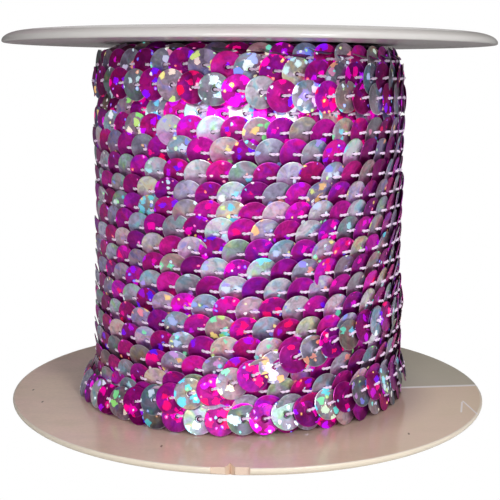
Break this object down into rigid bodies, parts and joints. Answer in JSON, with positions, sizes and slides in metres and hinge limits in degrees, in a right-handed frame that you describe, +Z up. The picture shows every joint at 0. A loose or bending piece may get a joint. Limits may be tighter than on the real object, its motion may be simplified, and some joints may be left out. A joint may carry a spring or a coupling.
{
  "type": "sequin trim on spool",
  "caption": "Narrow stitched sequin trim in alternating magenta and silver, wound in turns on a flanged plastic spool.",
  "frame": {"origin": "on the spool's axis, in the plane that the lower flange's rim rests on", "axes": "+Z up the spool's axis; -Y towards the front, where the notch in the lower flange's rim is; +X to the right"},
  "size_m": [0.1016, 0.1016, 0.0784],
  "materials": {
    "spool_plastic": "smooth moulded cream plastic, slightly glossy",
    "magenta_sequin": "metallised holographic film in magenta",
    "silver_sequin": "metallised holographic film in silver",
    "stitching": "two-ply sewing thread, pale lilac",
    "lower_layers": "shaded layers of the same trim underneath"
  },
  "bodies": {
    "root": {"flange_lower": "spool_plastic", "flange_upper": "spool_plastic", "barrel": "spool_plastic", "trim_winding": "magenta_sequin"}
  },
  "joints": []
}
